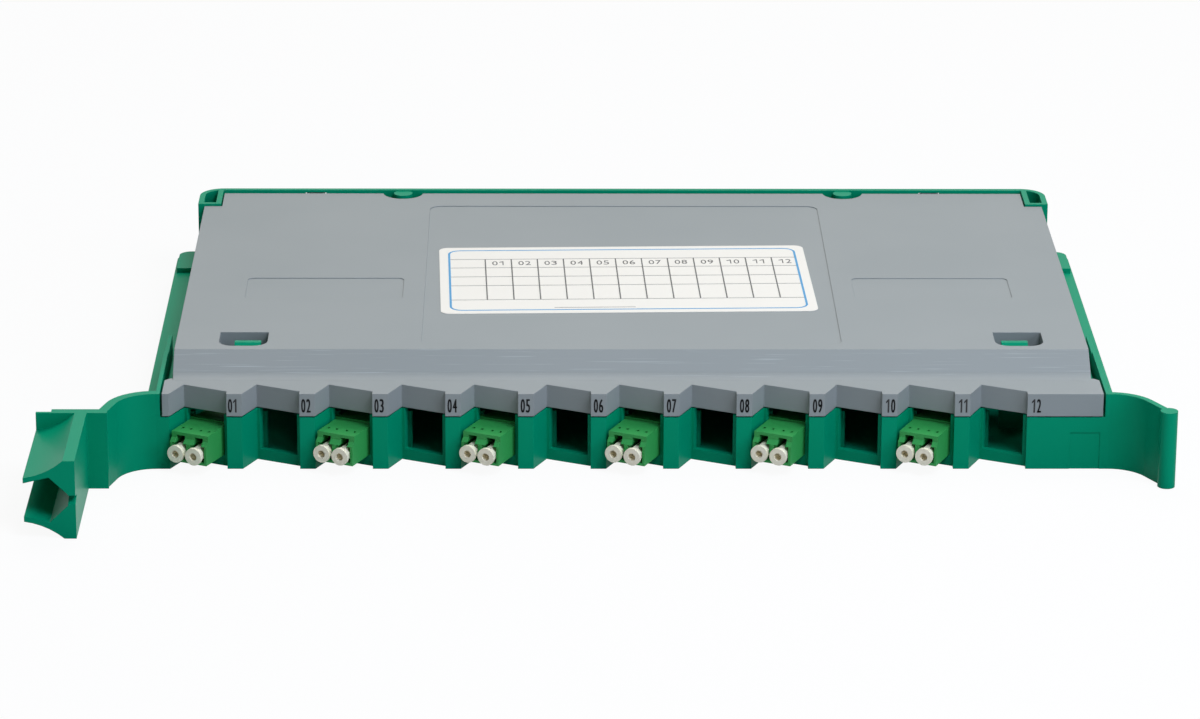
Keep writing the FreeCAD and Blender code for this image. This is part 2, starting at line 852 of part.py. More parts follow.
def base_drums(body):
    """Fibre drums with retaining tabs, and pegs for the splice holder."""
    for side, name in ((-1, "left"), (1, "right")):
        x = side * dim.drum_x
        drum = [ring(0.0, 0.0, dim.drum_radius), ring(0.0, 0.0, dim.drum_radius - dim.drum_wall)]
        pad(body, f"{name}_drum", drum, 0.0, dim.floor_thickness + dim.drum_height, at=(x, dim.drum_y))
        half = dim.drum_tab_width / 2
        tab_root = dim.drum_radius - dim.drum_wall / 2
        tab = box(tab_root, dim.drum_radius + dim.drum_tab_reach, -half, half)
        level = dim.floor_thickness + dim.drum_height - dim.drum_tab_thickness
        first = pad(body, f"{name}_tab", [tab], level, dim.drum_tab_thickness, at=(x, dim.drum_y))
        tabs = body.newObject("PartDesign::PolarPattern", f"{name}_tabs")
        tabs.Originals = [first]
        tabs.Axis = (first.Profile[0], ["N_Axis"])
        tabs.Angle = 360.0
        bind(tabs, "Occurrences", dim.drum_tab_count)
        body.Tip = tabs
    half = dim.peg_spacing / 2
    pegs = [ring(0.0, dim.drum_y - half, dim.peg_radius), ring(0.0, dim.drum_y + half, dim.peg_radius)]
    pad(body, "pegs", pegs, 0.0, dim.floor_thickness + dim.peg_height)


def build_base():
    """One-piece moulded base tray."""
    body = new_body("base_tray")
    base_shell(body)
    base_drums(body)
    base_latches(body)
    base_rear(body)
    base_rails(body)
    base_corners(body)
    base_right_arm(body)
    base_left_arm(body)
    base_bays(body)
    return body


def cover_sheet(body):
    """Top plate that bends down a slope to the apron, with a round rear edge at the hinge line."""
    thickness = dim.cover_thickness
    lean = slope_angle(dim.cover_top - dim.apron_top, dim.cover_plate_front - dim.cover_slope_foot)
    bend_shift = thickness * tangent(lean / 2)
    outline = [
        (dim.cover_slope_foot, dim.apron_top),
        (dim.cover_slope_foot, dim.apron_top - thickness),
        (dim.cover_slope_foot + bend_shift, dim.apron_top - thickness),
        (dim.cover_plate_front + bend_shift, dim.cover_top - thickness),
        (cover_rear, dim.cover_top - thickness),
        (cover_rear, hinge_z, dim.hinge_radius),
        (hinge_y, dim.cover_top),
        (dim.cover_plate_front, dim.cover_top),
    ]
    pad(body, "sheet", [outline], -cover_half_width, cover_half_width * 2, "YZ_Plane")
    skirt_rear = post_front - dim.cover_post_gap
    skirt = [
        (dim.cover_slope_foot, dim.skirt_bottom),
        (skirt_rear, dim.skirt_bottom),
        (skirt_rear, dim.cover_top),
        (dim.cover_plate_front, dim.cover_top),
        (dim.cover_slope_foot, dim.apron_top),
    ]
    side = pad(
        body, "skirt", [skirt], cover_half_width - dim.skirt_thickness, dim.skirt_thickness, "YZ_Plane"
    )
    mirrored(body, "skirts", [side])


def cover_apron(body):
    """Saw-tooth apron over the bays, with closed ends."""
    top = dim.apron_top
    height = top - apron_bottom
    back = dim.cover_slope_foot
    plate = pad(
        body, "apron_plate", [bay_plate_outline(back)], top - dim.cover_thickness, dim.cover_thickness
    )
    wall = pad(body, "apron_wall", [bay_wall_outline(dim.apron_wall)], apron_bottom, height)
    row_of(body, "apron", [plate, wall], dim.bay_pitch, dim.bay_count)
    edge = apron_half_width
    chamfer = dim.apron_chamfer
    left = [
        (-edge, 0.0),
        (bay_start, 0.0),
        (bay_start, back),
        (chamfer - edge, back),
        (-edge, back - chamfer),
    ]
    pad(body, "apron_left_end", [left], apron_bottom, height)
    right = [
        (bays_end, 0.0),
        (edge, 0.0),
        (edge, back - chamfer),
        (edge - chamfer, back),
        (bays_end, back),
    ]
    pad(body, "apron_right_end", [right], apron_bottom, height)
    core = box(bays_end, edge - dim.apron_wall, dim.apron_wall, back)
    pocket(body, "apron_right_core", [core], top - dim.cover_thickness, height - dim.cover_thickness)


def cover_openings(body):
    """Latch windows with collars, notches for the posts and ledges, and hinge tongues."""
    gap = dim.cover_post_gap
    rear = dim.tray_depth
    corner = box(post_inner - gap, dim.tray_half_width, post_front - gap, rear)
    pocket(body, "post_notches", both_sides(corner), dim.cover_top, dim.cover_thickness)
    radius = dim.notch_radius
    scallop = [
        (dim.ledge_x - radius, rear),
        (dim.ledge_x - radius, ledge_center, radius),
        (dim.ledge_x, ledge_center - radius, radius),
        (dim.ledge_x + radius, ledge_center),
        (dim.ledge_x + radius, rear),
    ]
    pocket(body, "ledge_notches", both_sides(scallop), dim.cover_top, dim.cover_thickness)
    half_tongue = dim.tongue_thickness / 2
    tongue = box(
        dim.tongue_x - dim.tongue_width / 2, dim.tongue_x + dim.tongue_width / 2,
        hinge_y, hinge_y + dim.tongue_reach,
    )
    pad(body, "tongues", both_sides(tongue), hinge_z - half_tongue, dim.tongue_thickness)
    collar = dim.window_collar
    collar_level = dim.cover_top - dim.cover_thickness - dim.window_collar_depth
    pad(
        body, "window_collars", both_sides(window_outline(collar)), collar_level,
        dim.window_collar_depth + dim.cover_thickness / 2,
    )
    pocket(
        body, "windows", both_sides(window_outline(0.0)), dim.cover_top,
        dim.cover_thickness + dim.window_collar_depth,
    )


def window_outline(margin):
    """Latch window with large front corners, grown by a margin."""
    half = dim.window_width / 2 + margin
    radius = dim.window_corner_radius + margin
    front = dim.window_front - margin
    back = dim.window_front + dim.window_depth + margin
    return [
        (dim.window_x - half + radius, front),
        (dim.window_x + half - radius, front, radius),
        (dim.window_x + half, front + radius),
        (dim.window_x + half, back),
        (dim.window_x - half, back),
        (dim.window_x - half, front + radius, radius),
    ]


def cover_reliefs(body):
    """Shallow panel for the label and a bare pad on each side of it."""
    side = dim.label_width / 2 + dim.panel_side_margin
    rear = dim.tray_depth - dim.panel_rear_margin
    panel = rounded_box(-side, side, dim.panel_front, rear, dim.panel_corner_radius)
    half = dim.pad_width / 2
    pad_x = side + dim.pad_gap + half
    pads = [
        rounded_box(
            x - half, x + half, dim.pad_front, dim.pad_front + dim.pad_depth, dim.pad_corner_radius
        )
        for x in (-pad_x, pad_x)
    ]
    pocket(body, "reliefs", [panel, *pads], dim.cover_top, dim.relief_depth)


def build_cover():
    """One-piece moulded cover."""
    body = new_body("top_cover")
    cover_sheet(body)
    cover_apron(body)
    cover_openings(body)
    cover_reliefs(body)
    return body


def build_label():
    """Paper routing label in the cover's panel."""
    panel_floor = dim.cover_top - dim.relief_depth
    body = new_body("routing_label", dim.label_x, dim.label_y, panel_floor, dim.label_turn)
    half_width = dim.label_width / 2
    half_depth = dim.label_depth / 2
    outline = rounded_box(-half_width, half_width, -half_depth, half_depth, dim.label_corner_radius)
    pad(body, "paper", [outline], 0.0, dim.label_thickness)
    return body


def build_splice_holder():
    """Comb for splice protectors, set on the two pegs of the floor."""
    body = new_body("splice_holder", y=dim.drum_y, z=dim.floor_thickness)
    half_length = dim.holder_length / 2
    first = -(dim.holder_rib_pitch * (dim.holder_rib_count - 1)) / 2
    edge = first - dim.holder_margin
    plate = box(-half_length, half_length, edge, -edge)
    peg_hole = dim.peg_radius + dim.peg_fit
    holes = [ring(0.0, side * (dim.peg_spacing / 2), peg_hole) for side in (-1, 1)]
    pad(body, "plate", [plate, *holes], 0.0, dim.holder_plate)
    gap = peg_hole + dim.holder_rib_wall
    half_wall = dim.holder_rib_wall / 2
    ribs = [
        box(gap, half_length, first - half_wall, first + half_wall),
        box(-half_length, -gap, first - half_wall, first + half_wall),
    ]
    rib = pad(body, "ribs", ribs, dim.holder_plate, dim.holder_rib_height)
    comb = body.newObject("PartDesign::LinearPattern", "comb")
    comb.Originals = [rib]
    comb.Direction = (origin_item(body, "Y_Axis"), [""])
    bind(comb, "Length", dim.holder_rib_pitch * (dim.holder_rib_count - 1))
    bind(comb, "Occurrences", dim.holder_rib_count)
    body.Tip = comb
    return body


def bay_body(label, bay, along=0.0, z=0.0):
    """Start a sub-part in a bay: X along the bay's face, Y inward from the middle of the face."""
    x = face_center_x + dim.bay_pitch * (bay - 1) + along * lean_cosine
    y = face_center_y - along * lean_sine
    return new_body(label, x, y, z, turn=-dim.bay_angle)


def port_outline(x):
    """Port with a keyway for the connector's latch."""
    half = dim.port_width / 2
    half_key = dim.key_width / 2
    low = adapter_floor + dim.port_floor
    shoulder = low + dim.port_height
    key_top = adapter_floor + dim.key_top
    return [
        (x - half, low),
        (x + half, low),
        (x + half, shoulder),
        (x + half_key, shoulder),
        (x + half_key, key_top),
        (x - half_key, key_top),
        (x - half_key, shoulder),
        (x - half, shoulder),
    ]


def build_adapter(bay):
    """Duplex adapter: stepped housing with a collar, keyed ports at both ends and ferrule tubes."""
    body = bay_body(f"adapter_{bay:02d}", bay)
    half = dim.adapter_width / 2
    top = adapter_floor + dim.adapter_height
    lip_top = adapter_floor + dim.adapter_lip_height
    lip_front = adapter_front - dim.adapter_lip
    lip_back = adapter_back + dim.adapter_lip
    profile = [
        (lip_front, adapter_floor),
        (lip_back, adapter_floor),
        (lip_back, lip_top),
        (adapter_back, lip_top + dim.adapter_lip),
        (adapter_back, top),
        (adapter_front, top),
        (adapter_front, lip_top + dim.adapter_lip),
        (lip_front, lip_top),
    ]
    pad(body, "housing", [profile], -half, dim.adapter_width, "YZ_Plane")
    collar_half = dim.collar_width / 2
    chamfer = dim.collar_chamfer
    collar = [
        (chamfer - collar_half, collar_front),
        (collar_half - chamfer, collar_front),
        (collar_half, collar_front + chamfer),
        (collar_half, collar_back),
        (-collar_half, collar_back),
        (-collar_half, collar_front + chamfer),
    ]
    collar_low = dim.floor_thickness + dim.adapter_fit
    pad(body, "collar", [collar], collar_low, top + dim.collar_rise - collar_low)
    ports = [port_outline(side * (dim.port_pitch / 2)) for side in (-1, 1)]
    port_depth = (lip_back - lip_front - dim.port_wall) / 2
    middle_front = adapter_middle - dim.port_wall / 2
    middle_back = adapter_middle + dim.port_wall / 2
    pocket(body, "front_ports", ports, -middle_front, -port_depth, "XZ_Plane")
    pocket(body, "back_ports", ports, -middle_back, port_depth, "XZ_Plane")
    axes = [side * (dim.port_pitch / 2) for side in (-1, 1)]
    tubes = [octagon(x, ferrule_z, dim.tube_radius) for x in axes]
    tube_front = adapter_middle - dim.tube_length
    pad(body, "tubes", tubes, -(adapter_middle + dim.tube_length), dim.tube_length * 2, "XZ_Plane")
    bores = [octagon(x, ferrule_z, dim.sleeve_radius + dim.sleeve_fit) for x in axes]
    pocket(body, "bores", bores, -tube_front, dim.tube_length * 2, "XZ_Plane")
    slot_front = adapter_front + dim.top_slot_setback
    slot_back = slot_front + dim.top_slot_length
    half_slot = dim.top_slot_width / 2
    offsets = [x + side * (dim.key_width / 2) for x in axes for side in (-1, 1)]
    slots = [box(x - half_slot, x + half_slot, slot_front, slot_back) for x in offsets]
    pocket(body, "top_slots", slots, top, dim.top_slot_depth)
    return body


def build_sleeve(bay, side, name):
    """Split alignment sleeve in the adapter's ferrule tube."""
    body = bay_body(f"ferrule_sleeve_{bay:02d}_{name}", bay, side * (dim.port_pitch / 2), ferrule_z)
    tube = [octagon(0.0, 0.0, dim.sleeve_radius), octagon(0.0, 0.0, dim.sleeve_bore)]
    start = adapter_middle + dim.tube_length
    pad(body, "tube", tube, -start, dim.tube_length * 2, "XZ_Plane")
    half = dim.sleeve_slot / 2
    slot = box(-half, half, 0.0, dim.sleeve_radius * 2)
    pocket(body, "slot", [slot], -(start - dim.tube_length * 2), dim.tube_length * 2, "XZ_Plane")
    return body


def build_cap(label, bay, side, tip, inward, flange):
    """Dust cap: a flange on a plug that slides into the port."""
    body = bay_body(label, bay, side * (dim.port_pitch / 2), ferrule_z)
    thickness = dim.cap_flange_thickness
    flange_back = tip + inward * thickness
    plug_end = tip + inward * dim.cap_length
    flange_start, plug_start = (flange_back, plug_end) if inward > 0 else (tip, flange_back)
    pad(body, "flange", [flange(0.0, 0.0, dim.cap_flange_radius)], -flange_start, thickness, "XZ_Plane")
    plug = octagon(0.0, 0.0, dim.port_width / 2 - dim.cap_fit)
    pad(body, "plug", [plug], -plug_start, dim.cap_length - thickness, "XZ_Plane")
    return body


def build_outer_cap(bay, side, name):
    """Dust cap in front of the bay, with a round flange and a blind hole."""
    tip = adapter_front - dim.cap_reach
    body = build_cap(f"outer_cap_{bay:02d}_{name}", bay, side, tip, 1, ring)
    hole = ring(0.0, 0.0, dim.cap_hole_radius)
    pocket(body, "hole", [hole], -tip, dim.cap_hole_depth, "XZ_Plane")
    return body


def build_inner_cap(bay, side, name):
    """Plain dust cap on the adapter's end inside the tray."""
    tip = adapter_back + dim.cap_reach
    return build_cap(f"inner_cap_{bay:02d}_{name}", bay, side, tip, -1, octagon)


def check(parts):
    """Stop before anything is written if a feature failed or a solid isn't sound."""
    for item in doc.Objects:
        if "Invalid" in item.State or "Error" in item.State:
            raise RuntimeError(f"{item.Label} is {item.State}")
    for part in parts:
        shape = part.Shape
        if shape.isNull() or not shape.isValid() or len(shape.Solids) != 1:
            raise RuntimeError(f"{part.Label} isn't one sound solid")


def main():
    """Build every sub-part, check them and write their files."""
    parts = [build_base(), build_cover(), build_label(), build_splice_holder()]
    for bay in FILLED_BAYS:
        parts.append(build_adapter(bay))
        for side, name in ((-1, "left"), (1, "right")):
            parts.append(build_sleeve(bay, side, name))
            parts.append(build_outer_cap(bay, side, name))
            parts.append(build_inner_cap(bay, side, name))
    doc.recompute()
    check(parts)
    os.makedirs("parts", exist_ok=True)
    for part in parts:
        part.Shape.exportStep(f"parts/{part.Label}.step")


main()
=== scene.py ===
"""Looks of the fibre splice tray: finishes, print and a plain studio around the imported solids."""

import logging
import math
from collections.abc import Iterable
from dataclasses import dataclass
from enum import Enum

import bmesh
import bpy
from mathutils import Matrix, Vector


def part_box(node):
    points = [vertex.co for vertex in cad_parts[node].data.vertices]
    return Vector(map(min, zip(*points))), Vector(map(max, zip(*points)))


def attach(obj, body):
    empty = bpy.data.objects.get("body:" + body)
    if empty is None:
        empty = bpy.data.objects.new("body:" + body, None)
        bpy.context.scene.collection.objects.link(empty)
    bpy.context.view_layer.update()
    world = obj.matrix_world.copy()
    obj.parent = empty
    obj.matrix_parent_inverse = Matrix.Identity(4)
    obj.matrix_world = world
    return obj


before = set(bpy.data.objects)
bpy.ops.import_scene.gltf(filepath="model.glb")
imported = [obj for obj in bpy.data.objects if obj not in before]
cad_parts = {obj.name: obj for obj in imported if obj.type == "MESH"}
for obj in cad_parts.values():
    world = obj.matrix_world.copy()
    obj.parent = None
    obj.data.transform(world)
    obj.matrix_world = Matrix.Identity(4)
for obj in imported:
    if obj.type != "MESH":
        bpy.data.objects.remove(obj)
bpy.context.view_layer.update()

LOG = logging.getLogger("fibre_splice_tray")
MM = 0.001
PHOTO_WIDTH = 1200
SENSOR_MM = 36.0
CLIP_END_M = 50.0
WHITE = "#FFFFFF"
WHITE_STRENGTH = 1.0

# Octaves of the noise in shade patches, mould grain and rub marks.
PATCH_DETAIL = 2.0
GRAIN_DETAIL = 1.0
STREAK_DETAIL = 3.0

# Rays that look for an edge or a hole.
EDGE_SAMPLES = 4
CAVITY_SAMPLES = 8

# Sizes that the print and the camera share with the solids.
TRAY_DEPTH_MM = 191.4
BAY_COUNT = 12
BAY_PITCH_MM = 22.5
BAY_START_MM = -143.3
TOOTH_WIDTH_MM = 4.8
TOOTH_FRONT_MM = -TRAY_DEPTH_MM / 2

# Figure one: right edge of its stem as a share of the width, its shoulder as a share of the stroke,
# and the heights of its flag as shares of half the height.
ONE_STEM = 0.3
ONE_SHOULDER = 0.2
ONE_FLAG = (0.62, 0.36, 0.58)

# Steps along a curved stroke of the built-in type.
GLYPH_STEPS = 4


class Body(Enum):
    """Moving bodies that scene pieces ride on."""

    COVER = "cover"


class Slot(Enum):
    """Material slots of the record."""

    TRAY = "tray_green"
    COVER = "cover_grey"
    LABEL = "label_paper"
    HOLDER = "holder_white"
    ADAPTER = "adapter_green"
    SLEEVE = "sleeve_ceramic"
    CAP = "cap_white"


def linear(hex_colour: str) -> tuple[float, float, float, float]:
    """Turn an sRGB hex colour into linear light.

    Args:
        hex_colour: Six hex digits, with or without a leading #.

    Returns:
        Linear red, green and blue with full alpha.
    """
    digits = hex_colour.lstrip("#")
    levels = [int(digits[place : place + 2], 16) / 255 for place in (0, 2, 4)]
    red, green, blue = (
        level / 12.92 if level <= 0.04045 else ((level + 0.055) / 1.055) ** 2.4 for level in levels
    )
    return red, green, blue, 1.0


def add_node(
    tree: bpy.types.NodeTree, kind: str, inputs: dict | None = None, **settings: object
) -> bpy.types.Node:
    """Add one node with its settings, constants and links.

    Args:
        tree: Node tree that takes the node.
        kind: Blender's name for the node type.
        inputs: Socket name or index to a constant or to another node's output.
        **settings: Attributes of the node itself.

    Returns:
        The new node.
    """
    node = tree.nodes.new(kind)
    for name, value in settings.items():
        setattr(node, name, value)
    for key, value in (inputs or {}).items():
        if isinstance(value, bpy.types.NodeSocket):
            tree.links.new(value, node.inputs[key])
        else:
            node.inputs[key].default_value = value
    return node


def empty_material(name: str) -> bpy.types.Material:
    """Start a material with no nodes.

    Args:
        name: Name of the real material.

    Returns:
        The material, with its tree cleared.
    """
    material = bpy.data.materials.new(name)
    material.use_nodes = True
    material.node_tree.nodes.clear()
    return material


@dataclass(frozen=True)
class MouldedPlastic:
    """Injection-moulded plastic: fine mould grain, slow shade drift and soft edges.

    Attributes:
        name: Common name of the plastic.
        colour: Body colour, sRGB hex.
        drift: Colour that the shade drifts to, sRGB hex.
        roughness_low: Roughness where the mould was smoothest.
        roughness_high: Roughness where it was dullest.
        grain_mm: Width of a grain of the mould texture, drawn coarser than real so that it shows.
        grain_depth_mm: Height of that grain.
        drift_mm: Width of a patch of shade drift.
        edge_mm: Radius that catches the light along edges.
        sheen: Share of the usual mirror reflection; a grained mould leaves less of it.
        ior: Index of refraction.
        grain_strength: Share of the grain's height that the light sees.
    """

    name: str
    colour: str
    drift: str
    roughness_low: float = 0.32
    roughness_high: float = 0.46
    grain_mm: float = 0.6
    grain_depth_mm: float = 0.01
    drift_mm: float = 45.0
    edge_mm: float = 0.3
    sheen: float = 0.12
    ior: float = 1.54
    grain_strength: float = 0.6

    def tint(
        self, tree: bpy.types.NodeTree, place: bpy.types.NodeSocket, shade: bpy.types.NodeSocket
    ) -> bpy.types.NodeSocket:
        """Lay marks of use over the body colour; plain plastic has none.

        Args:
            tree: Tree that takes the nodes.
            place: Object coordinates.
            shade: Body colour with its drift.

        Returns:
            Colour with the marks.
        """
        return shade

    def material(self) -> bpy.types.Material:
        """Build the procedural material.

        Returns:
            Material that reads Object coordinates.
        """
        material = empty_material(self.name)
        tree = material.node_tree
        place = add_node(tree, "ShaderNodeTexCoord").outputs["Object"]
        patches = add_node(
            tree,
            "ShaderNodeTexNoise",
            {"Vector": place, "Scale": 1 / (self.drift_mm * MM), "Detail": PATCH_DETAIL},
        ).outputs[0]
        shade = add_node(
            tree,
            "ShaderNodeMix",
            {"Factor": patches, "A": linear(self.colour), "B": linear(self.drift)},
            data_type="RGBA",
        )
        dullness = add_node(
            tree,
            "ShaderNodeMapRange",
            {"Value": patches, "To Min": self.roughness_low, "To Max": self.roughness_high},
        ).outputs[0]
        grain = add_node(
            tree,
            "ShaderNodeTexNoise",
            {"Vector": place, "Scale": 1 / (self.grain_mm * MM), "Detail": GRAIN_DETAIL},
        ).outputs[0]
        soft_edge = add_node(
            tree, "ShaderNodeBevel", {"Radius": self.edge_mm * MM}, samples=EDGE_SAMPLES
        )
        bump = add_node(
            tree,
            "ShaderNodeBump",
            {
                "Strength": self.grain_strength,
                "Distance": self.grain_depth_mm * MM,
                "Height": grain,
                "Normal": soft_edge.outputs[0],
            },
        ).outputs[0]
        surface = add_node(
            tree,
            "ShaderNodeBsdfPrincipled",
            {
                "Base Color": self.tint(tree, place, shade.outputs["Result"]),
                "Roughness": dullness,
                "IOR": self.ior,
                "Specular IOR Level": self.sheen,
                "Normal": bump,
            },
        ).outputs[0]
        add_node(tree, "ShaderNodeOutputMaterial", {"Surface": surface})
        return material


@dataclass(frozen=True)
class StreakedPlastic(MouldedPlastic):
    """Moulded plastic with fine pale rub marks along X on its slope.

    Attributes:
        streak: Colour of the marks, sRGB hex.
        slope_middle_mm: Middle of the slope along Y.
        slope_half_mm: Half the slope's depth along Y.
        streak_length_mm: Length of a mark.
        streak_width_mm: Width of a mark.
        streak_onset: Noise level at which a mark starts.
        streak_full: Noise level at which it is strongest.
        streak_share: Share of the mark's colour where it is strongest.
    """

    streak: str = "#C8D2DA"
    slope_middle_mm: float = -76.5
    slope_half_mm: float = 4.6
    streak_length_mm: float = 26.0
    streak_width_mm: float = 0.45
    streak_onset: float = 0.62
    streak_full: float = 0.82
    streak_share: float = 0.6

    def tint(
        self, tree: bpy.types.NodeTree, place: bpy.types.NodeSocket, shade: bpy.types.NodeSocket
    ) -> bpy.types.NodeSocket:
        """Draw the rub marks.

        Args:
            tree: Tree that takes the nodes.
            place: Object coordinates.
            shade: Body colour with its drift.

        Returns:
            Colour with the marks.
        """
        along = add_node(tree, "ShaderNodeSeparateXYZ", {0: place}).outputs["Y"]
        on_slope = add_node(
            tree,
            "ShaderNodeMath",
            {0: along, 1: self.slope_middle_mm * MM, 2: self.slope_half_mm * MM},
            operation="COMPARE",
        ).outputs[0]
        across = 1 / (self.streak_width_mm * MM)
        stretched = add_node(
            tree,
            "ShaderNodeMapping",
            {"Vector": place, "Scale": (1 / (self.streak_length_mm * MM), across, across)},
        ).outputs[0]
        marks = add_node(
            tree, "ShaderNodeTexNoise", {"Vector": stretched, "Scale": 1.0, "Detail": STREAK_DETAIL}
        ).outputs[0]
        rubbed = add_node(
            tree,
            "ShaderNodeMapRange",
            {
                "Value": marks,
                "From Min": self.streak_onset,
                "From Max": self.streak_full,
                "To Max": self.streak_share,
            },
        ).outputs[0]
        share = add_node(
            tree, "ShaderNodeMath", {0: on_slope, 1: rubbed}, operation="MULTIPLY"
        ).outputs[0]
        return add_node(
            tree,
            "ShaderNodeMix",
            {"Factor": share, "A": shade, "B": linear(self.streak)},
            data_type="RGBA",
        ).outputs["Result"]


@dataclass(frozen=True)
class HoleShadedPlastic(MouldedPlastic):
    """Moulded plastic with painted shade inside its holes and slots, where nearby walls block the
    light.

    Attributes:
        hole_shade: Painted shade deep in a hole, sRGB hex.
        reach_mm: How far a wall may be to count as a hole.
    """

    # Default is the caps' beige painted shade in their holes.
    hole_shade: str = "#EDE3C6"
    reach_mm: float = 1.4

    def tint(
        self, tree: bpy.types.NodeTree, place: bpy.types.NodeSocket, shade: bpy.types.NodeSocket
    ) -> bpy.types.NodeSocket:
        """Paint shade inside holes.

        Args:
            tree: Tree that takes the nodes.
            place: Object coordinates.
            shade: Body colour with its drift.

        Returns:
            Colour with the painted shade in the holes.
        """
        # Painted shade: ambient occlusion mixes the hole colour in where walls close round the
        # surface.
        openness = add_node(
            tree,
            "ShaderNodeAmbientOcclusion",
            {"Distance": self.reach_mm * MM},
            only_local=True,
            samples=CAVITY_SAMPLES,
        ).outputs["AO"]
        return add_node(
            tree,
            "ShaderNodeMix",
            {"Factor": openness, "A": linear(self.hole_shade), "B": shade},
            data_type="RGBA",
        ).outputs["Result"]


@dataclass(frozen=True)
class PrintInk:
    """Flat printing ink with a slightly uneven tone.

    Attributes:
        name: What was printed with it.
        colour: Ink colour, sRGB hex.
        thin: Colour where the ink is thin, sRGB hex.
        speckle_mm: Width of an uneven patch.
        roughness: Dullness of the dry ink.
    """

    name: str
    colour: str
    thin: str
    speckle_mm: float = 0.8
    roughness: float = 0.6

    def material(self) -> bpy.types.Material:
        """Build the procedural material.

        Returns:
            Material that reads Object coordinates.
        """
        material = empty_material(self.name)
        tree = material.node_tree
        place = add_node(tree, "ShaderNodeTexCoord").outputs["Object"]
        speckle = add_node(
            tree, "ShaderNodeTexNoise", {"Vector": place, "Scale": 1 / (self.speckle_mm * MM)}
        ).outputs[0]
        tone = add_node(
            tree,
            "ShaderNodeMix",
            {"Factor": speckle, "A": linear(self.colour), "B": linear(self.thin)},
            data_type="RGBA",
        )
        surface = add_node(
            tree,
            "ShaderNodeBsdfPrincipled",
            {"Base Color": tone.outputs["Result"], "Roughness": self.roughness},
        ).outputs[0]
        add_node(tree, "ShaderNodeOutputMaterial", {"Surface": surface})
        return material


# Saturated, nearly mirror-free green: front faces show the pure body colour.
GREEN_ABS = MouldedPlastic("green ABS, moulded", "#009872", "#00926D", 0.3, 0.42, sheen=0.04)
# Cool grey with a dull grain that hides the lamps, and faint rub marks on the slope.
GREY_ABS = StreakedPlastic(
    "grey ABS, fine moulded grain", "#969C9E", "#92999B", 0.5, 0.62, grain_depth_mm=0.02, sheen=0.2
)
# Yellower green than the tray, smooth enough for small highlights; painted shade darkens its slots.
ADAPTER_PBT = HoleShadedPlastic(
    "green PBT, moulded",
    "#38A455",
    "#329A4F",
    0.35,
    0.45,
    edge_mm=0.12,
    sheen=0.2,
    hole_shade="#0C3A18",
    reach_mm=0.7,
)
# Warm milky white; painted shade makes its holes beige, standing in for the shade and the light
# through the thin plastic there.
CAP_PE = HoleShadedPlastic(
    "natural polyethylene, moulded",
    "#FFFAE6",
    "#FFF6DC",
    0.3,
    0.4,
    drift_mm=3.0,
    edge_mm=0.12,
    sheen=0.6,
)
# Plain white that stays brighter than everything around it.
LABEL_PAPER = MouldedPlastic(
    "white coated paper", "#F6F3EC", "#F3F0E9", 0.5, 0.6, grain_mm=0.4, drift_mm=20.0, edge_mm=0.05
)
# Off-white with the same soft grain as the tray.
HOLDER_ABS = MouldedPlastic("white ABS, moulded", "#D8D8D2", "#D0D0CA")
# Hard white ceramic with a clear lamp highlight.
SLEEVE_ZIRCONIA = MouldedPlastic(
    "zirconia, ground", "#ECEAE4", "#E4E2DC", 0.15, 0.2, edge_mm=0.05, sheen=0.5, ior=2.15
)
# Dull inks: dense black on the teeth, thinner greys and a clear blue on the paper.
BLACK_INK = PrintInk("black pad-printing ink", "#17181A", "#26282B")
DARK_INK = PrintInk("dark line ink", "#343638", "#4A4C4E")
GREY_INK = PrintInk("grey line ink", "#5E6062", "#787A7C")
BLUE_INK = PrintInk("blue border ink", "#2A8AC2", "#489CCC")


def dress(nodes: Iterable[str], material: bpy.types.Material) -> None:
    """Give CAD nodes their finish.

    Args:
        nodes: Names of the nodes.
        material: Their material.
    """
    for name in nodes:
        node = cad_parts[name]
        node.data.materials.clear()
        node.data.materials.append(material)


def nodes_named(prefix: str) -> list[str]:
    """List the CAD nodes whose name starts with a prefix."""
    return sorted(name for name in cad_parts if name.startswith(prefix))


def piece(
    name: str,
    mesh: bmesh.types.BMesh,
    materials: Iterable[bpy.types.Material],
    body: Body,
) -> bpy.types.Object:
    """Turn a bmesh into an object that rides on a body.

    Args:
        name: Name of the piece.
        mesh: Its shape, in the row frame; freed here.
        materials: Materials in the order of the faces' material numbers.
        body: Body that it moves with.

    Returns:
        The linked object.
    """
    data = bpy.data.meshes.new(name)
    bmesh.ops.recalc_face_normals(mesh, faces=mesh.faces)
    mesh.to_mesh(data)
    mesh.free()
    for material in materials:
        data.materials.append(material)
    made = bpy.data.objects.new(name, data)
    bpy.context.scene.collection.objects.link(made)
    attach(made, body.value)
    return made


def add_plate(
    mesh: bmesh.types.BMesh, low: tuple[float, float], high: tuple[float, float], thickness: float
) -> None:
    """Add a thin rectangular plate that stands on Z = 0.

    Args:
        mesh: Shape that takes the plate.
        low: Lowest X and Y, in millimetres.
        high: Highest X and Y, in millimetres.
        thickness: Height of the plate, in millimetres.
    """
    size = Vector((high[0] - low[0], high[1] - low[1], thickness)) * MM
    middle = Vector(((high[0] + low[0]) / 2, (high[1] + low[1]) / 2, thickness / 2)) * MM
    bmesh.ops.create_cube(mesh, size=1.0, matrix=Matrix.LocRotScale(middle, None, size))


def sweep(mesh: bmesh.types.BMesh, along_mm: tuple[float, float, float]) -> None:
    """Give a flat shape its thickness.

    Args:
        mesh: Flat shape.
        along_mm: Way from the shape to its far side, in millimetres.
    """
    swept = bmesh.ops.extrude_face_region(mesh, geom=list(mesh.faces), use_keep_orig=True)
    verts = [item for item in swept["geom"] if isinstance(item, bmesh.types.BMVert)]
    bmesh.ops.translate(mesh, vec=Vector(along_mm) * MM, verts=verts)


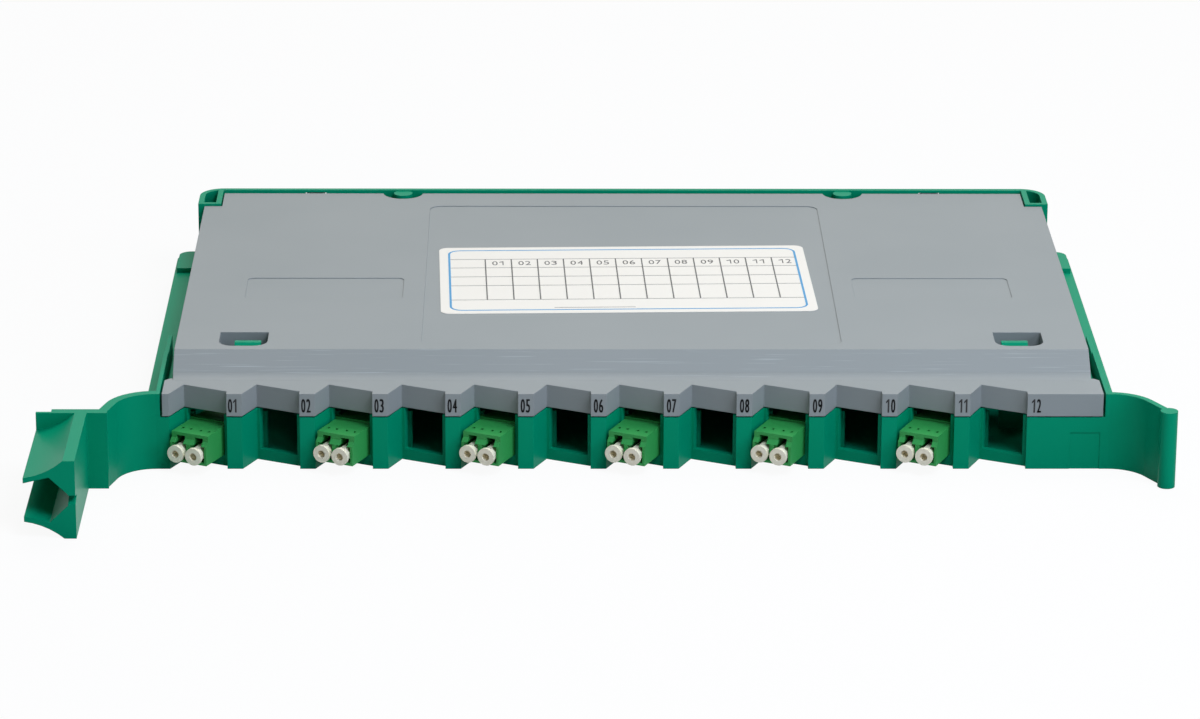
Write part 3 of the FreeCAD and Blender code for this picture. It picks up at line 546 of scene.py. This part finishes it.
@dataclass(frozen=True)
class DigitStyle:
    """Size and weight of printed digits.

    Attributes:
        width_mm: Width of one digit.
        height_mm: Height of the digits.
        gap_mm: Gap between two digits.
        stroke_mm: Width of an upright stroke.
        spread_mm: How far the upright strokes of a round digit are widened to each side.
        film_mm: Thickness of the ink.
    """

    width_mm: float
    height_mm: float
    gap_mm: float
    stroke_mm: float
    spread_mm: float
    film_mm: float

    def flat_one(self) -> bmesh.types.BMesh:
        """Draw the figure one with its flag, about its own middle.

        Returns:
            Flat shape on Z = 0, in metres.
        """
        top = self.height_mm / 2
        stem = self.width_mm * ONE_STEM
        left = stem - self.stroke_mm
        flag_high, flag_low, flag_root = (top * share for share in ONE_FLAG)
        outline = [
            (stem, -top),
            (stem, top),
            (left + self.stroke_mm * ONE_SHOULDER, top),
            (-self.width_mm / 2, flag_high),
            (-self.width_mm / 2, flag_low),
            (left, flag_root),
            (left, -top),
        ]
        mesh = bmesh.new()
        mesh.faces.new([mesh.verts.new((x * MM, y * MM, 0.0)) for x, y in outline])
        return mesh

    def flat_glyph(self, character: str) -> bmesh.types.BMesh:
        """Draw a character of the built-in type, fitted to the digit's width and height.

        Args:
            character: Character to draw.

        Returns:
            Flat shape on Z = 0 about its own middle, in metres.
        """
        curve = bpy.data.curves.new("digit", "FONT")
        curve.body = character
        curve.resolution_u = GLYPH_STEPS
        holder = bpy.data.objects.new("digit", curve)
        flat = bpy.data.meshes.new_from_object(holder)
        places = [vert.co for vert in flat.vertices]
        lows = [min(place[axis] for place in places) for axis in range(2)]
        highs = [max(place[axis] for place in places) for axis in range(2)]
        wide = (self.width_mm - 2 * self.spread_mm) / (highs[0] - lows[0])
        tall = self.height_mm / (highs[1] - lows[1])
        middle = Vector((-(lows[0] + highs[0]) / 2, -(lows[1] + highs[1]) / 2, 0.0))
        fit = Matrix.Diagonal((wide * MM, tall * MM, 1.0, 1.0)) @ Matrix.Translation(middle)
        mesh = bmesh.new()
        for side in (-1, 0, 1) if self.spread_mm else (0,):
            start = len(mesh.verts)
            mesh.from_mesh(flat)
            mesh.verts.ensure_lookup_table()
            aside = Matrix.Translation((side * self.spread_mm * MM, 0.0, 0.0))
            bmesh.ops.transform(mesh, matrix=aside @ fit, verts=mesh.verts[start:])
        bpy.data.objects.remove(holder)
        bpy.data.curves.remove(curve)
        bpy.data.meshes.remove(flat)
        return mesh

    def add(self, mesh: bmesh.types.BMesh, number: str, place: Matrix) -> None:
        """Print a number.

        Args:
            mesh: Shape that takes the digits.
            number: Digits to print.
            place: Matrix from the number's middle to the row frame.
        """
        pitch = self.width_mm + self.gap_mm
        for index, character in enumerate(number):
            digit = self.flat_one() if character == "1" else self.flat_glyph(character)
            sweep(digit, (0.0, 0.0, self.film_mm))
            shift = Vector(((index - (len(number) - 1) / 2) * pitch * MM, 0.0, 0.0))
            bmesh.ops.transform(digit, matrix=place @ Matrix.Translation(shift), verts=digit.verts)
            holder = bpy.data.meshes.new("digit")
            digit.to_mesh(holder)
            digit.free()
            mesh.from_mesh(holder)
            bpy.data.meshes.remove(holder)


@dataclass
class SlopeFoot:
    """Concave rounding where the cover's slope runs out into the apron's plate.

    Attributes:
        foot_mm: Y and Z of the slope's foot.
        head_mm: Y and Z of the slope's upper edge.
        half_width_mm: Half the width of the slope.
        reach_mm: How far the rounding goes up the slope and along the plate.
        sunk_mm: How deep its strip is let into the wall.
        steps: Faces across the rounding.
        bevel_share: Share of the reach that is rounded; the rest keeps its ends off the strip's.
    """

    foot_mm: tuple[float, float] = (-81.3, 24.6)
    head_mm: tuple[float, float] = (-71.8, 31.0)
    half_width_mm: float = 142.9
    reach_mm: float = 2.2
    sunk_mm: float = 0.3
    steps: int = 10
    bevel_share: float = 0.99

    def build(self, material: bpy.types.Material) -> bpy.types.Object:
        """Fill the corner with a strip whose top is rounded.

        Args:
            material: Finish of the cover.

        Returns:
            The strip.
        """
        foot = Vector((-self.half_width_mm, *self.foot_mm))
        up = (Vector((-self.half_width_mm, *self.head_mm)) - foot).normalized()
        ahead = Vector((0.0, -1.0, 0.0))
        surface = [foot + ahead * self.reach_mm, foot, foot + up * self.reach_mm]
        sunk = [point - Vector((0.0, 0.0, self.sunk_mm)) for point in reversed(surface)]
        mesh = bmesh.new()
        verts = [mesh.verts.new(point * MM) for point in surface + sunk]
        mesh.faces.new(verts)
        bmesh.ops.bevel(
            mesh,
            geom=[verts[1]],
            offset=self.reach_mm * MM * self.bevel_share,
            offset_type="OFFSET",
            affect="VERTICES",
            segments=self.steps,
            profile=0.5,
            material=-1,
        )
        sweep(mesh, (2 * self.half_width_mm, 0.0, 0.0))
        return piece("slope_foot", mesh, [material], Body.COVER)


@dataclass
class ToothNumbers:
    """Bay numbers printed on the tooth fronts of the cover's apron.

    Attributes:
        style: Size and weight of the digits.
        stretch_mm: How much wider than the bays the print is pitched.
        true_bay: Bay at which the number stands in the tooth's middle.
        level_mm: Height of the number's middle above the underside.
    """

    style: DigitStyle = DigitStyle(1.35, 4.4, 0.25, 0.52, 0.12, 0.04)
    stretch_mm: float = 0.072
    true_bay: float = 6.7
    level_mm: float = 20.75

    def build(self) -> bpy.types.Object:
        """Print every number.

        Returns:
            One object that holds all the numbers.
        """
        mesh = bmesh.new()
        upright = Matrix.Rotation(math.radians(90), 4, "X")
        for bay in range(1, BAY_COUNT + 1):
            middle_x = BAY_START_MM + bay * BAY_PITCH_MM - TOOTH_WIDTH_MM / 2
            middle_x += (bay - self.true_bay) * self.stretch_mm
            place = Vector((middle_x, TOOTH_FRONT_MM, self.level_mm)) * MM
            self.style.add(mesh, f"{bay:02d}", Matrix.Translation(place) @ upright)
        return piece("tooth_numbers", mesh, [BLACK_INK.material()], Body.COVER)


@dataclass
class RoutingPrint:
    """Border, table and column numbers printed on the paper label.

    Attributes:
        turn_deg: How far the label was stuck on askew.
        border_half_width_mm: Half the width of the border.
        border_half_depth_mm: Half the depth of the border.
        border_line_mm: Width of the border's line.
        border_corner_mm: Radius of the border's corners.
        border_steps: Edges round each corner.
        first_column_mm: Place of the first upright line.
        column_mm: Width of a numbered column.
        rows_mm: Places of the cross lines, from the rear to the front.
        line_mm: Width of a cross line.
        upright_mm: Width of an upright line.
        note_line_mm: Ends of the writing line under the table.
        note_level_mm: Place of the writing line.
        number_level_mm: Place of the column numbers.
        digits: Size and weight of the column numbers.
        film_mm: Thickness of the ink.
        upright_film_mm: Thickness of an upright line, which lies over the cross lines.
    """

    turn_deg: float = 1.5
    border_half_width_mm: float = 57.6
    border_half_depth_mm: float = 31.3
    border_line_mm: float = 0.72
    border_corner_mm: float = 4.0
    border_steps: int = 6
    first_column_mm: float = -45.4
    column_mm: float = 8.6
    rows_mm: tuple[float, ...] = (21.5, 12.6, 3.2, -6.0, -20.5)
    line_mm: float = 0.36
    upright_mm: float = 0.42
    note_line_mm: tuple[float, float] = (-24.0, 2.0)
    note_level_mm: float = -28.8
    number_level_mm: float = 17.3
    digits: DigitStyle = DigitStyle(1.8, 4.1, 0.5, 0.36, 0.0, 0.03)
    film_mm: float = 0.03
    upright_film_mm: float = 0.045

    def place(self) -> Matrix:
        """Find the middle of the label's top face and its turn.

        Returns:
            Matrix from the label to the row frame.
        """
        low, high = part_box("routing_label")
        middle = Vector(((low.x + high.x) / 2, (low.y + high.y) / 2, high.z))
        return Matrix.Translation(middle) @ Matrix.Rotation(math.radians(self.turn_deg), 4, "Z")

    def border(self) -> bpy.types.Object:
        """Draw the rounded border.

        Returns:
            The border's object.
        """
        mesh = bmesh.new()
        half = (self.border_half_width_mm, self.border_half_depth_mm)
        corners = [(-1, -1), (1, -1), (1, 1), (-1, 1)]
        verts = [mesh.verts.new((x * half[0] * MM, y * half[1] * MM, 0.0)) for x, y in corners]
        mesh.faces.new(verts)
        bmesh.ops.bevel(
            mesh,
            geom=verts,
            offset=self.border_corner_mm * MM,
            offset_type="OFFSET",
            affect="VERTICES",
            segments=self.border_steps,
            profile=0.5,
            material=-1,
        )
        inner = list(mesh.faces)
        bmesh.ops.inset_region(
            mesh,
            faces=inner,
            thickness=self.border_line_mm * MM,
            use_boundary=True,
            use_even_offset=True,
        )
        bmesh.ops.delete(mesh, geom=inner, context="FACES")
        sweep(mesh, (0.0, 0.0, self.film_mm))
        bmesh.ops.transform(mesh, matrix=self.place(), verts=mesh.verts)
        return piece("label_border", mesh, [BLUE_INK.material()], Body.COVER)

    def table(self) -> bpy.types.Object:
        """Draw the table's lines and the writing line.

        Returns:
            The table's object.
        """
        mesh = bmesh.new()
        half = self.line_mm / 2
        edge = self.border_half_width_mm - self.border_line_mm
        for level in self.rows_mm:
            add_plate(mesh, (-edge, level - half), (edge, level + half), self.film_mm)
        for column in range(BAY_COUNT):
            x = self.first_column_mm + column * self.column_mm
            wide = self.upright_mm / 2
            start = len(mesh.faces)
            low, high = (x - wide, self.rows_mm[-1]), (x + wide, self.rows_mm[0])
            add_plate(mesh, low, high, self.upright_film_mm)
            mesh.faces.ensure_lookup_table()
            for face in mesh.faces[start:]:
                face.material_index = 1
        note_start, note_end = self.note_line_mm
        low = (note_start, self.note_level_mm - half)
        high = (note_end, self.note_level_mm + half)
        add_plate(mesh, low, high, self.film_mm)
        bmesh.ops.transform(mesh, matrix=self.place(), verts=mesh.verts)
        inks = [GREY_INK.material(), DARK_INK.material()]
        return piece("label_table", mesh, inks, Body.COVER)

    def numbers(self) -> bpy.types.Object:
        """Print the column numbers.

        Returns:
            One object that holds all the numbers.
        """
        mesh = bmesh.new()
        for column in range(BAY_COUNT):
            x = self.first_column_mm + (column + 0.5) * self.column_mm
            place = Vector((x, self.number_level_mm, 0.0)) * MM
            self.digits.add(mesh, f"{column + 1:02d}", self.place() @ Matrix.Translation(place))
        return piece("label_numbers", mesh, [DARK_INK.material()], Body.COVER)


@dataclass
class Tray:
    """Solids of the tray and their finishes."""

    def build(self) -> bpy.types.Object:
        """Dress every CAD node and round the foot of the cover's slope.

        Returns:
            The strip that rounds the foot.
        """
        dress(["base_tray"], GREEN_ABS.material())
        grey = GREY_ABS.material()
        dress(["top_cover"], grey)
        dress(["routing_label"], LABEL_PAPER.material())
        dress(["splice_holder"], HOLDER_ABS.material())
        dress(nodes_named("adapter_"), ADAPTER_PBT.material())
        dress(nodes_named("ferrule_sleeve_"), SLEEVE_ZIRCONIA.material())
        caps = nodes_named("outer_cap_") + nodes_named("inner_cap_")
        dress(caps, CAP_PE.material())
        return SlopeFoot().build(grey)


@dataclass(frozen=True)
class Lamp:
    """Soft round lamp that faces the tray.

    Attributes:
        name: Name of the lamp.
        place_m: Its place.
        size_m: Width of its panel.
        watts: Its power.
        colour: Its colour, sRGB hex.
    """

    name: str
    place_m: tuple[float, float, float]
    size_m: float
    watts: float
    colour: str

    def hang(self) -> None:
        """Add the lamp to the scene."""
        light = bpy.data.lights.new(self.name, "AREA")
        light.shape = "DISK"
        light.size = self.size_m
        light.energy = self.watts
        light.color = linear(self.colour)[:3]
        made = bpy.data.objects.new(self.name, light)
        made.location = self.place_m
        made.rotation_euler = (-Vector(self.place_m)).to_track_quat("-Z", "Y").to_euler()
        bpy.context.scene.collection.objects.link(made)


@dataclass
class Studio:
    """Pale floor, soft lamps and the camera.

    Attributes:
        camera_mm: Camera's place.
        pitch_deg: Angle below the horizon that it looks along.
        yaw_deg: Turn to the right.
        roll_deg: Tilt of the horizon.
        focal_px: Focal length in pixels of the photograph's width.
        floor_span_m: Width of the floor.
        floor_lit: Floor's paint for the rays that only light, sRGB hex.
        floor_seen: Floor's paint for the eye, sRGB hex.
        floor_glow: Share of plain white that the eye sees; the rest keeps the shadow.
        fill: Colour of the light from all round, sRGB hex.
        fill_strength: Its strength.
        lamps: Soft lamps.
    """

    camera_mm: tuple[float, float, float] = (-31.54, -1415.66 - TRAY_DEPTH_MM / 2, 528.95)
    pitch_deg: float = 19.2
    yaw_deg: float = 0.857
    roll_deg: float = -0.298
    focal_px: float = 4871.2
    floor_span_m: float = 12.0
    floor_lit: str = "#C8C8C8"
    floor_seen: str = "#F4F4F4"
    floor_glow: float = 0.93
    fill: str = "#F0F6FF"
    fill_strength: float = 0.11
    lamps: tuple[Lamp, ...] = (
        Lamp("rear_top_lamp", (0.1, 1.6, 2.6), 2.4, 60.0, "#FFFBF2"),
        Lamp("front_top_lamp", (0.32, -0.58, 0.82), 0.5, 5.7, "#EAF2FF"),
        Lamp("front_lamp", (1.6, -1.4, 0.7), 1.2, 12.0, "#DCEAFF"),
    )

    def camera(self) -> bpy.types.Object:
        """Set up the camera at the photograph's angle.

        Returns:
            The camera.
        """
        pitch, yaw, roll = (math.radians(a) for a in (self.pitch_deg, self.yaw_deg, self.roll_deg))
        ahead = Vector(
            (math.sin(yaw) * math.cos(pitch), math.cos(yaw) * math.cos(pitch), -math.sin(pitch))
        )
        right = Vector((math.cos(yaw), -math.sin(yaw), 0.0))
        down = ahead.cross(right)
        tilted_right = right * math.cos(roll) + down * math.sin(roll)
        tilted_down = down * math.cos(roll) - right * math.sin(roll)
        turn = Matrix((tilted_right, -tilted_down, -ahead)).transposed().to_4x4()
        lens = bpy.data.cameras.new("camera")
        lens.sensor_width = SENSOR_MM
        lens.lens = self.focal_px * SENSOR_MM / PHOTO_WIDTH
        lens.clip_end = CLIP_END_M
        made = bpy.data.objects.new("camera", lens)
        made.matrix_world = Matrix.Translation(Vector(self.camera_mm) * MM) @ turn
        bpy.context.scene.collection.objects.link(made)
        bpy.context.scene.camera = made
        return made

    def seen(self, tree: bpy.types.NodeTree) -> bpy.types.NodeSocket:
        """Tell the rays that the eye, gloss and clear pieces follow from those that only light.

        Args:
            tree: Tree that takes the nodes.

        Returns:
            Socket that is 1 for the seen rays.
        """
        rays = add_node(tree, "ShaderNodeLightPath").outputs
        pair = add_node(
            tree,
            "ShaderNodeMath",
            {0: rays["Is Camera Ray"], 1: rays["Is Glossy Ray"]},
            operation="MAXIMUM",
        ).outputs[0]
        return add_node(
            tree, "ShaderNodeMath", {0: pair, 1: rays["Is Transmission Ray"]}, operation="MAXIMUM"
        ).outputs[0]

    def backdrop(self) -> None:
        """Make the surroundings white to the eye and an even soft light."""
        world = bpy.data.worlds.new("studio")
        bpy.context.scene.world = world
        world.use_nodes = True
        tree = world.node_tree
        tree.nodes.clear()
        white = add_node(
            tree, "ShaderNodeBackground", {"Color": linear(WHITE), "Strength": WHITE_STRENGTH}
        ).outputs[0]
        fill = add_node(
            tree,
            "ShaderNodeBackground",
            {"Color": linear(self.fill), "Strength": self.fill_strength},
        ).outputs[0]
        mix = add_node(
            tree, "ShaderNodeMixShader", {0: self.seen(tree), 1: fill, 2: white}
        ).outputs[0]
        add_node(tree, "ShaderNodeOutputWorld", {"Surface": mix})

    def floor(self) -> bpy.types.Object:
        """Lay a pale floor that keeps a faint shadow.

        Returns:
            The floor.
        """
        material = empty_material("matt white studio floor")
        tree = material.node_tree
        seen = self.seen(tree)
        tone = add_node(
            tree,
            "ShaderNodeMix",
            {"Factor": seen, "A": linear(self.floor_lit), "B": linear(self.floor_seen)},
            data_type="RGBA",
        ).outputs["Result"]
        paint = add_node(
            tree, "ShaderNodeBsdfDiffuse", {"Color": tone, "Roughness": 1.0}
        ).outputs[0]
        glow = add_node(
            tree, "ShaderNodeEmission", {"Color": linear(WHITE), "Strength": WHITE_STRENGTH}
        ).outputs[0]
        share = add_node(
            tree, "ShaderNodeMath", {0: seen, 1: self.floor_glow}, operation="MULTIPLY"
        ).outputs[0]
        mix = add_node(tree, "ShaderNodeMixShader", {0: share, 1: paint, 2: glow}).outputs[0]
        add_node(tree, "ShaderNodeOutputMaterial", {"Surface": mix})
        mesh = bmesh.new()
        bmesh.ops.create_grid(mesh, x_segments=1, y_segments=1, size=self.floor_span_m / 2)
        data = bpy.data.meshes.new("floor")
        mesh.to_mesh(data)
        mesh.free()
        data.materials.append(material)
        made = bpy.data.objects.new("floor", data)
        bpy.context.scene.collection.objects.link(made)
        return made

    def build(self) -> None:
        """Set up the whole studio."""
        self.backdrop()
        self.floor()
        for lamp in self.lamps:
            lamp.hang()
        self.camera()
        bpy.context.scene.view_settings.view_transform = "Standard"


def main() -> None:
    """Build every piece in order and note the sizes."""
    logging.basicConfig(level=logging.INFO, format="%(name)s: %(message)s")
    foot = Tray().build()
    LOG.info("dressed %d solids", len(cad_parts))
    routing = RoutingPrint()
    teeth = ToothNumbers().build()
    for made in (foot, teeth, routing.border(), routing.table(), routing.numbers()):
        LOG.info("built %s with %d faces", made.name, len(made.data.polygons))
    Studio().build()
    LOG.info("studio set up")


if __name__ == "__main__":
    main()
